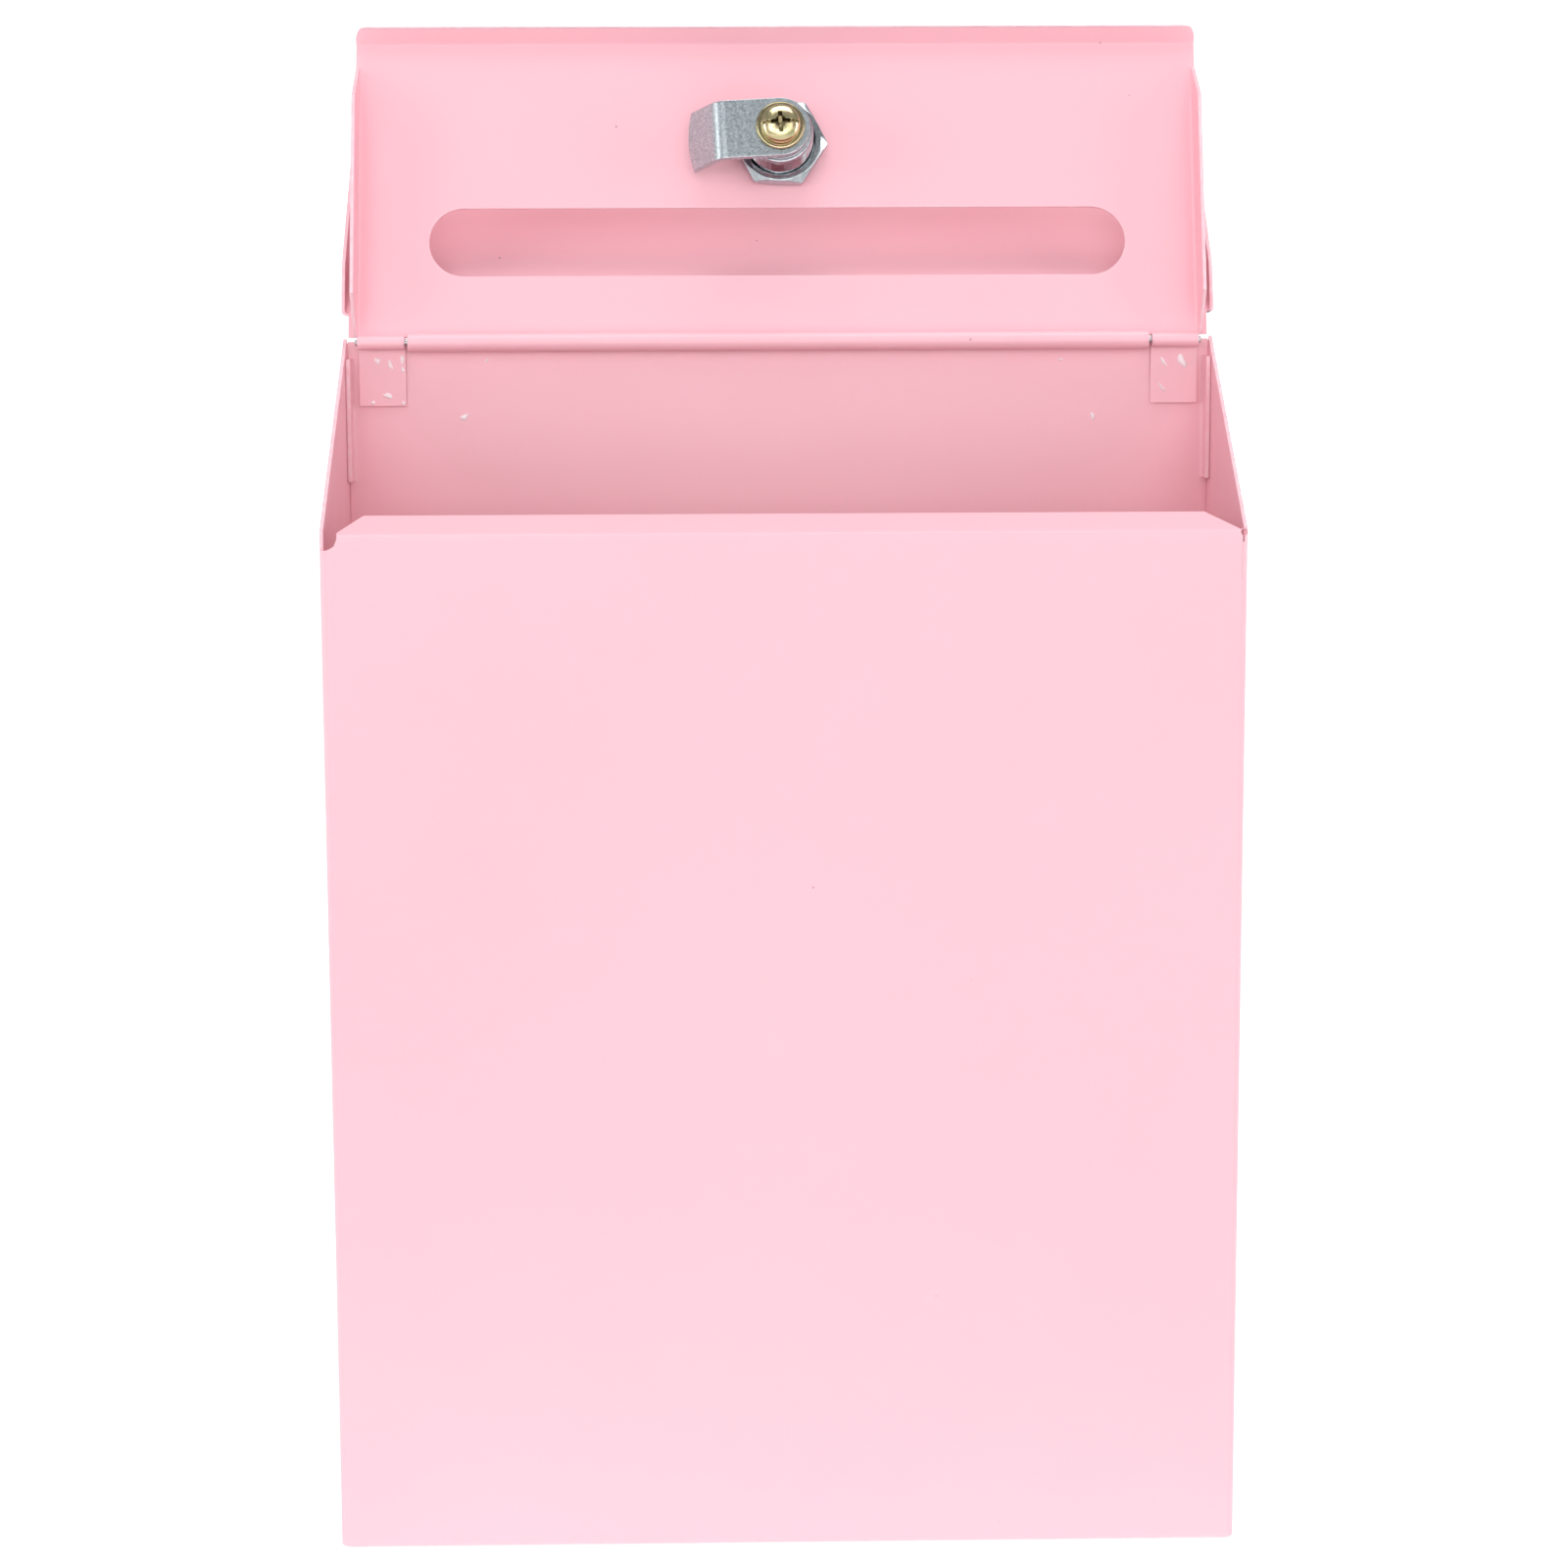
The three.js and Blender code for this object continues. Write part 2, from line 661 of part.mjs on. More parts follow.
const lock = new THREE.Group();
lock.position.set(lockAside, 0, lockCentre);
lock.add(
  mesh('lock_housing', lockHousing(), zincPlate),
  mesh('lock_nut', lockNut(), zincPlate),
  mesh('lock_plug', lockPlug(), brass),
  mesh('stop_washer', stopWasher(), zincPlate),
);
for (let i = 0; i < waferCount; i += 1) {
  const plate = mesh(`wafer_${i + 1}`, wafer(i), brass);
  const spring = mesh(`wafer_spring_${i + 1}`, waferSpring(i), springSteel);
  lock.add(plate, spring);
}
lid.add(lock);

// The cam, its washer and its screw sit a little askew on the tang, within the slack of the square hole.
const camStack = new THREE.Group();
camStack.rotation.y = THREE.MathUtils.degToRad(-3);
camStack.add(
  mesh('cam_plate', camPlate(), zincPlate),
  mesh('cam_washer', camWasher(), yellowZinc),
  mesh('cam_screw', camScrew(), yellowZinc),
);
lock.add(camStack);

export default donationBox;
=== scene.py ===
import math

import bmesh
import bpy
from mathutils import Matrix, Vector, noise


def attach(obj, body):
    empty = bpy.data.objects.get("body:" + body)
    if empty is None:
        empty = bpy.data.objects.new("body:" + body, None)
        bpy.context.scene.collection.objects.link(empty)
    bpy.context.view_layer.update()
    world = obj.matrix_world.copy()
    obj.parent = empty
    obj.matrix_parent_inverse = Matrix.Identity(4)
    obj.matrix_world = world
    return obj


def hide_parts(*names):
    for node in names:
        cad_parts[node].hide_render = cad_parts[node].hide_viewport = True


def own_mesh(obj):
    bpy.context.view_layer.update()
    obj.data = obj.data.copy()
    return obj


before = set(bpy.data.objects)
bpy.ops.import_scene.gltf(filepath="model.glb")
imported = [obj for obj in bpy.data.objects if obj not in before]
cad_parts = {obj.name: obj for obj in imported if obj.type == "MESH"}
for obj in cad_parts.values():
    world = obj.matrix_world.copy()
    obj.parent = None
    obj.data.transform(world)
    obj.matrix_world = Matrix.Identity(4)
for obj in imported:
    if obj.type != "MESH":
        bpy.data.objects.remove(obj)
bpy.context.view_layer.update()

# ---------------------------------------------------------------- dimensions, in millimetres as in the CAD
MM = 0.001
TURN = 2 * math.pi
AXIS = Vector((0, 32.7, 319))  # the hinge axis
OPEN_LEAN = math.radians(17)
LOCK_CENTRE = (0.7, 0, 56.5)  # from the middle of the hinge axis, along the lid
CAM_TURN = math.radians(-3)
INSIDE_BACK = 35.5
SHEET = 1.0
SHARP = math.radians(40)  # edges between faces at more than this are rounded over

LID = Matrix.Translation(AXIS) @ Matrix.Rotation(-OPEN_LEAN, 4, "X")
LOCK = LID @ Matrix.Translation(LOCK_CENTRE)
CAM = LOCK @ Matrix.Rotation(CAM_TURN, 4, "Y")


# ---------------------------------------------------------------- materials
class Nodes:
    """A material's node tree, with short calls to add and join nodes."""

    def __init__(self, name):
        self.material = bpy.data.materials.new(name)
        self.material.use_nodes = True
        self.tree = self.material.node_tree
        self.shader = self.tree.nodes["Principled BSDF"]

    def add(self, kind, **inputs):
        node = self.tree.nodes.new(kind)
        for key, value in inputs.items():
            if key in node.inputs:
                self.feed(node.inputs[key], value)
            else:
                setattr(node, key, value)
        return node

    def feed(self, socket, value):
        if isinstance(value, bpy.types.NodeSocket):
            self.tree.links.new(value, socket)
        else:
            socket.default_value = value

    def set(self, **inputs):
        for key, value in inputs.items():
            self.feed(self.shader.inputs[key.replace("_", " ")], value)

    def place(self):
        return self.add("ShaderNodeTexCoord").outputs["Object"]

    def noise(self, scale, detail=2.0, roughness=0.5, vector=None):
        node = self.add("ShaderNodeTexNoise", Scale=scale, Detail=detail, Roughness=roughness)
        self.feed(node.inputs["Vector"], vector or self.place())
        return node.outputs["Fac"]

    def ramp(self, value, low, high, out_low=0.0, out_high=1.0):
        node = self.add("ShaderNodeMapRange")
        self.feed(node.inputs["Value"], value)
        keys = ("From Min", "From Max", "To Min", "To Max")
        for key, number in zip(keys, (low, high, out_low, out_high)):
            node.inputs[key].default_value = number
        return node.outputs["Result"]

    def math(self, operation, a, b):
        node = self.add("ShaderNodeMath", operation=operation)
        self.feed(node.inputs[0], a)
        self.feed(node.inputs[1], b)
        return node.outputs[0]

    def mix(self, factor, a, b, blend="MIX"):
        node = self.add("ShaderNodeMix", data_type="RGBA", blend_type=blend)
        self.feed(node.inputs["Factor"], factor)
        self.feed(node.inputs["A"], a)
        self.feed(node.inputs["B"], b)
        return node.outputs["Result"]

    def attribute(self, name):
        return self.add("ShaderNodeAttribute", attribute_name=name).outputs["Fac"]

    def bump(self, height, distance, strength=1.0, normal=None):
        node = self.add("ShaderNodeBump", Strength=strength, Distance=distance)
        self.feed(node.inputs["Height"], height)
        if normal is not None:
            self.feed(node.inputs["Normal"], normal)
        return node.outputs["Normal"]


def specked(m, tone):
    """The tone with a few small dark nibs."""
    dark = (0.30, 0.12, 0.16, 1)
    nib = m.add("ShaderNodeTexVoronoi", Scale=62.0)
    m.feed(nib.inputs["Vector"], m.place())
    near = m.ramp(nib.outputs["Distance"], 0.016, 0.03, 1.0, 0.0)
    return m.mix(m.math("MULTIPLY", near, 0.5), tone, dark)


def thin_paint_and_highlight_on_cuts(m, tone):
    """The tone made pale in patches over the cut edges: thinned paint there, and a painted highlight where
    the edges catch the light.
    """
    thin_paint_and_highlight = (0.95, 0.72, 0.77, 1)
    patches = m.ramp(m.noise(420, 2), 0.3, 0.62, 0.1, 0.6)
    return m.mix(m.math("MULTIPLY", m.attribute("cut"), patches), tone, thin_paint_and_highlight)


def powder_coat(name, base, deep, rough=0.3):
    """Baked pink powder coat: faint orange peel, slow drifts of tone and gloss, a few dark nibs, thinned
    paint and a painted highlight on the cut edges, and glossy runs of paint made pale by a painted
    highlight."""
    m = Nodes(name)
    drift = m.ramp(m.noise(9, 3, 0.55), 0.3, 0.7)
    tone = thin_paint_and_highlight_on_cuts(m, specked(m, m.mix(drift, base, deep)))
    run_and_glint = m.attribute("run_and_glint")
    # painted highlight: the runs of paint are tinted near white, standing in for glints off them
    tone = m.mix(m.math("MULTIPLY", run_and_glint, 0.9), tone, (0.99, 0.90, 0.92, 1))
    gloss = m.ramp(m.noise(70, 3), 0.3, 0.7, rough, rough + 0.07)
    gloss = m.math("SUBTRACT", gloss, m.math("MULTIPLY", run_and_glint, 0.2))
    peel = m.bump(m.noise(640, 1.5), 0.02 * MM, 0.35)
    waves = m.bump(m.noise(38, 1.0), 0.12 * MM, 0.5, peel)
    m.set(Base_Color=tone, Roughness=gloss, Normal=waves, Specular_IOR_Level=0.5)
    return m.material


def plated(name, base, cloudy, rough, blotch=900, streaks=0.0):
    """Plated metal: fine cloudy blotches in tone and gloss, with faint drawn streaks where asked."""
    m = Nodes(name)
    cloud = m.noise(blotch, 3, 0.6)
    tone = m.mix(m.ramp(cloud, 0.34, 0.66), base, cloudy)
    if streaks:
        stretch = m.add("ShaderNodeMapping", Scale=(60.0, 2400.0, 2400.0))
        m.feed(stretch.inputs["Vector"], m.place())
        drawn = m.noise(1.0, 2, 0.5, stretch.outputs["Vector"])
        tone = m.mix(m.ramp(drawn, 0.35, 0.65, 0.0, streaks), tone, cloudy)
    gloss = m.ramp(m.noise(blotch * 0.6, 4, 0.7), 0.3, 0.7, rough - 0.07, rough + 0.09)
    m.set(Base_Color=tone, Metallic=1.0, Roughness=gloss, Normal=m.bump(cloud, 0.02 * MM, 0.5))
    return m.material


def chromate(name, share):
    """Yellow chromate over zinc, which drifts between green, straw and rose, with painted shade darkening
    its recess. share is how much of its full brightness it has."""
    m = Nodes(name)
    green, straw, rose = ((*(share * c for c in tint), 1) for tint in (
        (0.60, 0.55, 0.30), (0.80, 0.66, 0.38), (0.78, 0.54, 0.44),
    ))
    film = m.noise(260, 2, 0.5)
    tone = m.mix(m.ramp(film, 0.35, 0.52), green, straw)
    tone = m.mix(m.ramp(film, 0.55, 0.68), tone, rose)
    # painted shade: the recess is darkened almost to black, more so where it is deeper
    tone = m.mix(m.attribute("recess"), tone, (0.05, 0.035, 0.015, 1))
    gloss = m.ramp(m.noise(900, 3), 0.3, 0.7, 0.14, 0.26)
    grain = m.bump(m.noise(1500, 2), 0.01 * MM, 0.4)
    m.set(Base_Color=tone, Metallic=1.0, Roughness=gloss, Normal=grain)
    return m.material


pink = powder_coat("pink_powder_coat", (0.975, 0.54, 0.605, 1), (0.965, 0.52, 0.59, 1))
zinc = plated(
    "zinc_plate", (0.62, 0.67, 0.69, 1), (0.34, 0.39, 0.42, 1), 0.34, blotch=1700, streaks=0.15
)
bright_zinc = plated("bright_zinc", (0.57, 0.60, 0.62, 1), (0.41, 0.45, 0.48, 1), 0.17)
pin_steel = plated("pin_steel", (0.55, 0.55, 0.56, 1), (0.42, 0.42, 0.44, 1), 0.32)
brass = plated("lock_brass", (0.70, 0.52, 0.24, 1), (0.58, 0.42, 0.18, 1), 0.30)
spring_steel = plated("spring_steel", (0.42, 0.43, 0.45, 1), (0.33, 0.34, 0.36, 1), 0.34)
yellow_zinc = chromate("yellow_zinc", 1.0)
dull_yellow_zinc = chromate("dull_yellow_zinc", 0.6)


# ---------------------------------------------------------------- making pieces
def in_scene(name, data):
    """A new object with this data, linked into the scene."""
    obj = bpy.data.objects.new(name, data)
    bpy.context.scene.collection.objects.link(obj)
    return obj


def mesh_data(name, shape, material, sharp=math.pi):
    """Mesh data from a bmesh, which it frees, smooth except at edges of more than the sharp angle."""
    data = bpy.data.meshes.new(name)
    bmesh.ops.recalc_face_normals(shape, faces=shape.faces)
    for face in shape.faces:
        face.smooth = True
    for edge in shape.edges:
        edge.smooth = len(edge.link_faces) == 2 and edge.calc_face_angle(0) < sharp
    shape.to_mesh(data)
    shape.free()
    data.materials.append(material)
    return data


def piece(name, shape, body, material, replaced=(), sharp=math.radians(38)):
    """A piece that rides a body, from a bmesh in metres in the row frame."""
    obj = in_scene(name, mesh_data(name, shape, material, sharp))
    weighted = obj.modifiers.new("even_normals", "WEIGHTED_NORMAL")
    weighted.keep_sharp = True
    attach(obj, body)
    if replaced:
        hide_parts(*replaced)
    return obj


def node_shape(node):
    """A CAD node's solid as a bmesh with its flat faces whole."""
    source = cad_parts[node].data
    corners = [corner.co for corner in source.vertices]
    data = bpy.data.meshes.new("copy")
    data.from_pydata(corners, [], [list(polygon.vertices) for polygon in source.polygons])
    shape = bmesh.new()
    shape.from_mesh(data)
    bpy.data.meshes.remove(data)
    weld, flat = 0.002 * MM, math.radians(0.5)
    bmesh.ops.remove_doubles(shape, verts=shape.verts, dist=weld)
    bmesh.ops.dissolve_limit(
        shape, angle_limit=flat, verts=shape.verts, edges=shape.edges, delimit=set()
    )
    return shape


def is_cut_face(face, sheet):
    """Whether a face is the cut edge of a sheet: as narrow as the sheet, between sharp corners."""
    length = sum(edge.calc_length() for edge in face.edges)
    width = 2 * face.calc_area() / length
    corners = sum(edge.calc_length() for edge in face.edges if edge.calc_face_angle(0) > SHARP)
    widest, least_corners = 1.1, 0.8
    return width < widest * sheet * MM and corners > least_corners * length


def eased(
    node, name, body, material, edge=0.16, sheet=SHEET, runs=(), seams=(), clamp=False,
):
    """A CAD node again, with its sharp edges rounded over, its cut edges marked for thinned paint and a
    painted highlight, and any runs of paint on it, marked for a painted highlight, or paint in its seams."""
    shape = node_shape(node)
    mark = shape.faces.layers.float.new("cut")
    for face in shape.faces:
        face[mark] = 1.0 if is_cut_face(face, sheet) else 0.0
    corners = [corner for corner in shape.edges if corner.calc_face_angle(0) > SHARP]
    made = bmesh.ops.bevel(
        shape, geom=corners, offset=edge * MM, offset_type="OFFSET", segments=2, profile=0.5,
        affect="EDGES", clamp_overlap=clamp,
    )
    rounded_share = 0.7  # of the thinned paint and painted highlight that a cut edge has
    for face in made["faces"]:
        face[mark] = rounded_share
    run_and_glint_mark = shape.faces.layers.float.new("run_and_glint")
    for run_and_glint in runs:
        for face in paint_run(shape, *run_and_glint):
            face[run_and_glint_mark] = 1.0
    for seam in seams:
        paint_seam(shape, *seam)
    return piece(name, shape, body, material, [node])


def angles(steps):
    """The angles of so many equal steps round a circle."""
    return [TURN * k / steps for k in range(steps)]


def around(radius, y, angle):
    """A point at a radius from the local Y axis."""
    return Vector((radius * math.cos(angle), y, radius * math.sin(angle)))


def paint_seam(shape, near_x, far_x, near_y, far_y, low, high):
    """An uneven bead of paint that fills the gap between two sheets, from one height to another."""
    steps, unevenness, waves_per_mm = 40, 0.12, 0.2
    rows = []
    for k in range(steps + 1):
        z = low + (high - low) * k / steps
        wave = noise.noise(Vector((near_x, near_y, waves_per_mm * z)))
        front = near_y + unevenness * (1 + wave)
        rows.append([
            Vector((near_x, front, z)) * MM, Vector((far_x, front, z)) * MM,
            Vector((far_x, far_y, z)) * MM, Vector((near_x, far_y, z)) * MM,
        ])
    grid(shape, rows, closed=True, caps=True)


def paint_run(shape, x, y, z, wide, tall, lean):
    """A low lump of paint on a face that looks towards -Y, with an uneven outline."""
    steps, rings, height, sunk = 20, 5, 0.4, 0.05
    oval, three_lobed = 0.22, 0.14
    rows = []
    for ring in range(rings + 1):
        slant = math.pi / 2 * ring / rings
        row = []
        for angle in angles(steps):
            uneven = 1 + oval * math.sin(2 * angle + x) + three_lobed * math.sin(3 * angle + z)
            across = wide / 2 * uneven * math.cos(slant) * math.cos(angle)
            up = tall / 2 * uneven * math.cos(slant) * math.sin(angle)
            leaning_x = across * math.cos(lean) - up * math.sin(lean)
            leaning_z = across * math.sin(lean) + up * math.cos(lean)
            out = height * math.sin(slant) - sunk
            row.append(Vector((x + leaning_x, y - out, z + leaning_z)) * MM)
        rows.append(row)
    before = set(shape.faces)
    made = grid(shape, rows, closed=True)
    shape.faces.new(made[0])
    bmesh.ops.remove_doubles(shape, verts=made[-1], dist=1e-6)
    return [face for face in shape.faces if face not in before]


def grid(shape, rows, closed=False, caps=False):
    """Quads between rows of points. Each row is a ring when closed; caps closes the first and last."""
    made = [[shape.verts.new(point) for point in row] for row in rows]
    count = len(rows[0])
    for low, high in zip(made, made[1:]):
        for k in range(count if closed else count - 1):
            after = (k + 1) % count
            shape.faces.new((low[k], low[after], high[after], high[k]))
    if caps:
        shape.faces.new(list(reversed(made[0])))
        shape.faces.new(made[-1])
    return made


def turned(section, steps, place):
    """A ring about the local Y axis, from section(angle), which gives the (radius, y) points of its outline
    at that angle, the last the same as the first."""
    shape = bmesh.new()
    sections = [[around(radius, y, angle) for radius, y in section(angle)] for angle in angles(steps)]
    grid(shape, list(zip(*sections)), closed=True)
    place_shape(shape, place)
    return shape


def place_shape(shape, place):
    """Welds, and moves from local millimetres to the row frame in metres."""
    bmesh.ops.remove_doubles(shape, verts=shape.verts, dist=0.001)
    bmesh.ops.transform(shape, matrix=Matrix.Scale(MM, 4) @ place, verts=shape.verts)


# ---------------------------------------------------------------- the sheet pieces
eased("front_and_sides", "front_and_sides_sheet", "box", pink)
# runs of paint: x, y, z of the middle, width, height, lean
BACK_RUNS = (
    (-87.0, INSIDE_BACK, 298.4, 1.3, 2.8, -0.8), (87.0, INSIDE_BACK, 298.0, 1.2, 1.8, 0.4),
    (-80.5, INSIDE_BACK, 314.0, 1.1, 0.8, 0.6), (78.0, INSIDE_BACK, 313.6, 1.0, 0.8, 0.2),
)
PANEL_EDGE, SIDE_INNER = 118.66, 119.04
# paint between the back panel and the sides: along its rear edge, and beside the tabs at its top
BACK_SEAMS = [
    (side * PANEL_EDGE, side * SIDE_INNER, near_y, far_y, low, high)
    for side in (-1, 1)
    for near_y, far_y, low, high in ((35.6, 36.4, 0.6, 318.8), (29.9, 35.4, 281.3, 314.2))
]
eased(
    "back_panel", "back_panel_sheet", "box", pink,
    runs=BACK_RUNS, seams=BACK_SEAMS, clamp=True,
)
eased("bottom_panel", "bottom_panel_pan", "box", pink)
eased("lid_panel", "lid_panel_sheet", "lid", pink, edge=0.14)
eased("hood", "rain_hood_sheet", "lid", pink)
LEAF_FACE, LEAF_SHEET = 34.4, 0.8
LEAF_RUNS = {
    "left": (
        (-110.6, LEAF_FACE, 314.0, 1.3, 1.9, 0.2), (-107.0, LEAF_FACE, 312.9, 1.1, 2.4, 0.5),
        (-103.7, LEAF_FACE, 314.3, 1.1, 2.4, -0.2), (-103.6, LEAF_FACE, 311.6, 0.9, 1.6, 0.1),
        (-107.8, LEAF_FACE, 304.4, 3.0, 1.3, -0.5), (-112.0, LEAF_FACE, 302.5, 0.9, 1.2, 0.4),
        (-103.6, LEAF_FACE, 302.4, 1.0, 1.1, 0.0),
    ),
    "right": (
        (106.4, LEAF_FACE, 312.9, 1.0, 2.6, 0.7), (111.5, LEAF_FACE, 313.2, 2.3, 3.3, 0.5),
        (106.1, LEAF_FACE, 305.8, 0.8, 2.4, 0.75),
    ),
}
for side, runs in LEAF_RUNS.items():
    eased(
        f"hinge_tab_{side}", f"hinge_tab_{side}_leaf", "box", pink,
        edge=0.12, sheet=LEAF_SHEET, runs=runs,
    )
eased("hinge_pin", "hinge_pin_rod", "box", pin_steel, edge=0.25)

# ---------------------------------------------------------------- the lock
THREAD_PITCH = 1.0
BARREL = 9.25  # radius over the thread
BARREL_END = -10.9
BARREL_BORE = 6.2
FACE_RADIUS = 11.0  # of the flange outside the lid
FACE_BACK = 2.8
FACE_RIM = 4.2
NUT_HALF_FLATS = 11.6
NUT_LOW, NUT_HIGH = -2.8, 1.2
NUT_TURN = math.radians(-2.5)


def ridge(y, angle):
    """How far up a thread's flank a point is, from 0 in its root to 1 on its crest."""
    return abs((y / THREAD_PITCH - angle / TURN) % 1.0 - 0.5) * 2


def nut_section(angle):
    """A hexagon nut's section: corners chamfered on both faces, and a chamfered, threaded bore."""
    bore = BARREL + 0.32
    lead = 0.45  # of the bore's chamfers
    chamfer_start = NUT_HALF_FLATS * 0.985
    from_flat = (angle - NUT_TURN) % (math.pi / 3) - math.pi / 6
    rim = min(NUT_HALF_FLATS / math.cos(from_flat), NUT_HALF_FLATS * 1.145)
    drop = max(0.0, rim - chamfer_start) * 0.62
    outside = [
        (bore + lead, NUT_LOW), (chamfer_start - 0.25, NUT_LOW), (chamfer_start, NUT_LOW + 0.04),
        (rim - 0.06, NUT_LOW + drop), (rim, NUT_LOW + drop + 0.1),
        (rim, NUT_HIGH - drop - 0.1), (rim - 0.06, NUT_HIGH - drop), (chamfer_start, NUT_HIGH - 0.02),
        (bore + lead, NUT_HIGH),
    ]
    thread_top, thread_low = NUT_HIGH - lead, NUT_LOW + lead
    levels = 24
    heights = [thread_top + (thread_low - thread_top) * i / levels for i in range(1, levels)]
    thread = [(bore - 0.02 + 0.3 * ridge(y, angle), y) for y in heights]
    return outside + [(bore, thread_top)] + thread + [(bore, thread_low), outside[0]]


def barrel_section(angle):
    """The lock's housing: a domed face flange outside the lid and a threaded barrel inside it."""
    lead, root, runout = 0.25, 0.42, 0.5
    thread_start, thread_end = BARREL_END + 1.0, 2.2
    bore_start = (BARREL_BORE, BARREL_END + lead)
    tip = [
        bore_start, (BARREL_BORE + lead, BARREL_END), (BARREL - 0.75, BARREL_END),
        (BARREL - 0.5, BARREL_END + 0.12), (BARREL - root, BARREL_END + 0.6),
    ]
    per_turn = 8
    turns = int((FACE_BACK - 0.8 - thread_start) / THREAD_PITCH)
    thread = []
    for i in range(per_turn * turns + 1):
        y = thread_start + i * THREAD_PITCH / per_turn
        fade = max(0.0, min(1.0, (y - thread_start) / runout, (thread_end - y) / runout))
        thread.append((BARREL - root * (1 - ridge(y, angle) * fade), y))
    neck = BARREL - 0.3
    flange = [(neck, 2.5), (neck, FACE_BACK), (FACE_RADIUS - 0.3, FACE_BACK)]
    flange += [(FACE_RADIUS, FACE_BACK + 0.25), (FACE_RADIUS, FACE_RIM)]
    dome = (0.3, 0.6, 0.9, 1.2, 1.5)  # angles round the flange's domed edge
    flange += [(FACE_RADIUS - 1.1 * (1 - math.cos(a)), FACE_RIM + 1.2 * math.sin(a)) for a in dome]
    mouth = [(8.2, 5.52), (7.9, 5.4), (6.7, 5.32), (BARREL_BORE + 0.15, 5.25), (BARREL_BORE, 5.1)]
    return tip + thread + flange + mouth + [bore_start]


barrel, nut = turned(barrel_section, 128, LOCK), turned(nut_section, 180, LOCK)
piece("lock_housing_barrel", barrel, "lid", bright_zinc, ["lock_housing"], math.radians(50))
piece("lock_nut_hex", nut, "lid", bright_zinc, ["lock_nut"], math.radians(32))
eased("lock_plug", "lock_plug_core", "lock_cam", brass, edge=0.08)
eased("stop_washer", "stop_washer_ring", "lock_cam", bright_zinc, edge=0.15)
eased("cam_plate", "cam_plate_arm", "lock_cam", zinc, edge=0.3)
WASHER_OUTER = -15.8
SCREW_SEAT = -16.1
HEAD_RADIUS, HEAD_HEIGHT, HEAD_RIM = 5.4, 3.0, 0.7
SHANK = 2.0


def washer_section(_angle):
    """A plain washer with rounded edges."""
    outer, inner, low, high = 6.7, 2.3, WASHER_OUTER, WASHER_OUTER + 0.8
    bend, brim = 0.35, low + 0.02
    start = (inner, low + 0.15)
    outline = [start, (inner + 0.15, low), (outer - 0.75, brim)]
    rounding = (0.3, 0.7, 1.1, 1.5)  # angles round the outer edge
    outline += [(outer - bend + bend * math.sin(a), brim + bend - bend * math.cos(a)) for a in rounding]
    outline += [(outer, high - 0.2), (outer - 0.2, high), (inner + 0.1, high), (inner, high - 0.1), start]
    return outline


def share_within(distance, soft):
    """How far inside an edge a place is, from 0 outside it to 1 when it is soft or more inside."""
    return min(1.0, max(0.0, distance / soft))


def recess_depth(x, z):
    """How deep the screw's head is cut at a place: a cross in a shallow slot that runs right across."""
    arm_half, arm_reach, deepest = 0.66, 3.0, 2.3
    core_radius = 1.55
    slot_half, slot_depth = 0.42, 0.75
    out = math.hypot(x, z)
    along, across = max(abs(x), abs(z)), min(abs(x), abs(z))
    taper = arm_half * (1.12 - 0.35 * along / arm_reach)
    arm = share_within(taper - across, 0.16) * share_within(arm_reach - along, 0.9)
    core = share_within(core_radius - out, 0.5)
    slope = 0.62 + 0.38 * max(0.0, 1 - along / arm_reach)
    slot = slot_depth * share_within(slot_half - abs(z), 0.12) * (1 - (out / HEAD_RADIUS) ** 8)
    return max(max(arm, core * 0.9) * deepest * slope, slot)


def screw():
    """A pan head screw with its recess and a threaded shank."""
    steps, rings = 240, 84
    rows, depths = [], []
    for ring in range(rings + 1):
        share = math.sin(math.pi / 2 * ring / rings)
        dome = (HEAD_HEIGHT - HEAD_RIM) * math.sqrt(max(0.0, 1 - share**2.4)) ** 0.9
        top = SCREW_SEAT - HEAD_RIM - dome
        places = [around(share * HEAD_RADIUS, top, angle) for angle in angles(steps)]
        depths.append([recess_depth(place.x, place.z) for place in places])
        rows.append([place + Vector((0, depth, 0)) for place, depth in zip(places, depths[-1])])
    sides = [(HEAD_RADIUS, 0.1 - HEAD_RIM), (HEAD_RADIUS - 0.02, -0.22), (HEAD_RADIUS - 0.2, 0.0)]
    sides.append((SHANK, 0.0))
    thread_depth, half_pitch = 0.12, 0.3
    sides += [(SHANK - thread_depth * (i % 2), 0.2 + half_pitch * i) for i in range(24)]
    sides += [(1.6, 7.3), (0.0, 7.4)]
    rows += [[around(radius, SCREW_SEAT + y, angle) for angle in angles(steps)] for radius, y in sides]
    shape = bmesh.new()
    made = grid(shape, rows, closed=True)
    # the recess faces are marked for painted shade
    mark_recess_shade(shape, made, depths)
    place_shape(shape, CAM)
    return shape


def mark_recess_shade(shape, rows, depths):
    """Marks the faces of the recess for painted shade, darker the deeper they lie."""
    darkest_shade, full_shade_depth = 0.85, 1.2
    mark = shape.faces.layers.float.new("recess")
    for row, row_depths in zip(rows, depths):
        for vertex, depth in zip(row, row_depths):
            for face in vertex.link_faces:
                face[mark] = max(face[mark], min(1.0, depth / full_shade_depth) * darkest_shade)


washer = turned(washer_section, 96, CAM)
piece(
    "cam_washer_ring", washer, "lock_cam", dull_yellow_zinc, ["cam_washer"],
    math.radians(60),
)
piece("cam_screw_head", screw(), "lock_cam", yellow_zinc, ["cam_screw"], math.radians(44))
for index in range(1, 6):
    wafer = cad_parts[f"wafer_{index}"].data
    wafer.materials.clear()
    wafer.materials.append(brass)
    node = f"wafer_spring_{index}"
    spring = piece(f"{node}_coil", node_shape(node), "lock_cam", spring_steel, [node])
    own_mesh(spring)


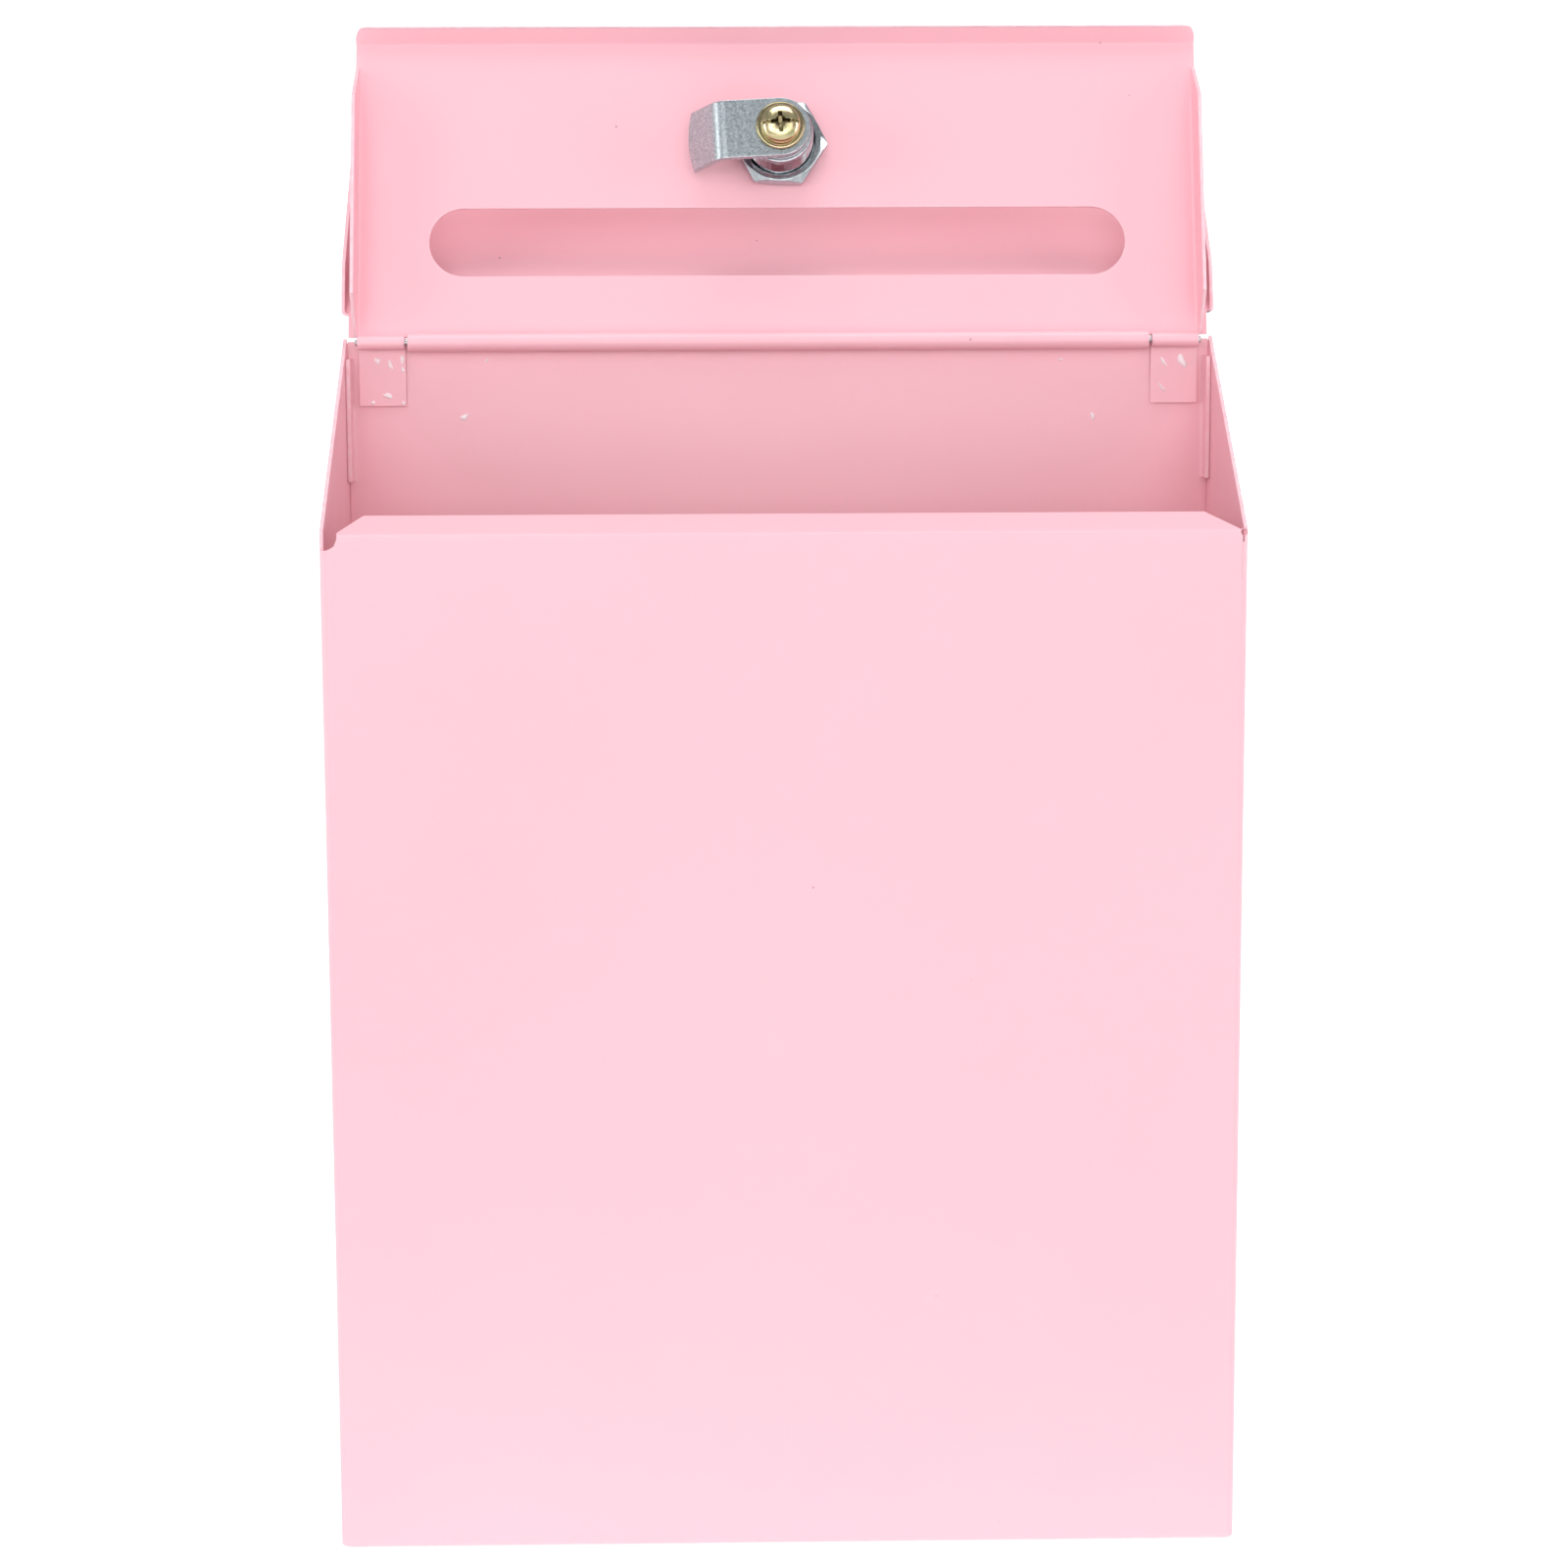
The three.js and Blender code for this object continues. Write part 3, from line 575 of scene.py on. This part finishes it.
# ---------------------------------------------------------------- stage, lights and camera
FLOOR_RADIUS, FLOOR_BEND, WALL_TOP = 4.2, 0.8, 1.7  # in metres, as is all the studio
AIM = (0, 0, 0.2)
# the softboxes: name, place, width, height, power in watts
SOFTBOXES = (
    ("softbox_front", (0.15, -2.6, 0.7), 1.4, 1.0, 10.4),
    ("softbox_left", (-0.98, -2.15, 1.15), 0.9, 1.3, 7.6),
    ("softbox_right", (0.98, -2.15, 1.15), 0.9, 1.3, 4.8),
    ("softbox_top", (0.1, -0.3, 2.2), 1.8, 1.0, 18.0),
    ("softbox_far_left", (-1.9, -0.8, 0.7), 0.4, 1.4, 9.4),
    ("softbox_far_right", (1.9, -0.7, 0.7), 0.4, 1.4, 7.6),
)


def studio_white():
    """Matt white, a little uneven, which glows faintly behind the object."""
    m = Nodes("studio_white")
    grain = m.ramp(m.noise(3, 2), 0.3, 0.7, 0.86, 0.9)
    tone = m.add("ShaderNodeCombineColor", Red=grain, Green=grain, Blue=grain).outputs["Color"]
    far = m.add("ShaderNodeSeparateXYZ", Vector=m.place()).outputs["Y"]
    glow = m.ramp(far, -0.35, 0.05, 0.04, 0.55)
    m.set(Base_Color=tone, Roughness=0.9, Emission_Color=(1, 1, 1, 1), Emission_Strength=glow)
    return m.material


def sweep():
    """A pale round floor that curves up into a low wall all round."""
    steps, sunk = 96, 0.0006
    flat = FLOOR_RADIUS - FLOOR_BEND
    rounding = [math.radians(degrees) for degrees in range(9, 91, 9)]
    profile = [(0.0, 0.0), (1.0, 0.0), (flat, 0.0)]
    profile += [(flat + FLOOR_BEND * math.sin(a), FLOOR_BEND - FLOOR_BEND * math.cos(a)) for a in rounding]
    profile.append((FLOOR_RADIUS, WALL_TOP))
    shape = bmesh.new()
    rows = [
        [Vector((radius * math.cos(a), radius * math.sin(a), z - sunk)) for a in angles(steps)]
        for radius, z in profile
    ]
    grid(shape, rows, closed=True)
    bmesh.ops.remove_doubles(shape, verts=shape.verts, dist=1e-5)
    in_scene("studio_floor", mesh_data("studio_floor", shape, studio_white()))


def softbox(name, place, width, height, power):
    """A rectangular light that looks at the object."""
    light = bpy.data.lights.new(name, "AREA")
    light.shape = "RECTANGLE"
    light.size = width
    light.size_y = height
    light.energy = power
    obj = in_scene(name, light)
    obj.location = place
    obj.rotation_euler = (Vector(AIM) - Vector(place)).to_track_quat("-Z", "Y").to_euler()


def studio():
    """Faint bluish daylight from all round, and the softboxes."""
    world = bpy.data.worlds.new("studio")
    bpy.context.scene.world = world
    world.use_nodes = True
    daylight = world.node_tree.nodes["Background"]
    daylight.inputs["Color"].default_value = (0.93, 0.96, 1.0, 1)
    daylight.inputs["Strength"].default_value = 0.33
    for box in SOFTBOXES:
        softbox(*box)
    bpy.context.scene.view_settings.view_transform = "Standard"


def camera():
    """Almost level with the lid, a little to the left, turned and tipped slightly."""
    place = Vector((-18.7, -945.7, 340.6)) * MM
    yaw, pitch, roll = math.radians(1.15), math.radians(8.42), math.radians(-0.22)
    level = math.cos(pitch)
    ahead = Vector((math.sin(yaw) * level, math.cos(yaw) * level, -math.sin(pitch)))
    right = ahead.cross(Vector((0, 0, 1))).normalized()
    up = right.cross(ahead)
    right_rolled = right * math.cos(roll) + up * math.sin(roll)
    up_rolled = right_rolled.cross(ahead)
    turn = Matrix((right_rolled, up_rolled, -ahead)).transposed().to_4x4()
    data = bpy.data.cameras.new("camera")
    data.sensor_width = 36
    data.lens = 81
    data.clip_start = 0.01
    obj = in_scene("camera", data)
    obj.matrix_world = Matrix.Translation(place) @ turn
    bpy.context.scene.camera = obj


sweep()
studio()
camera()
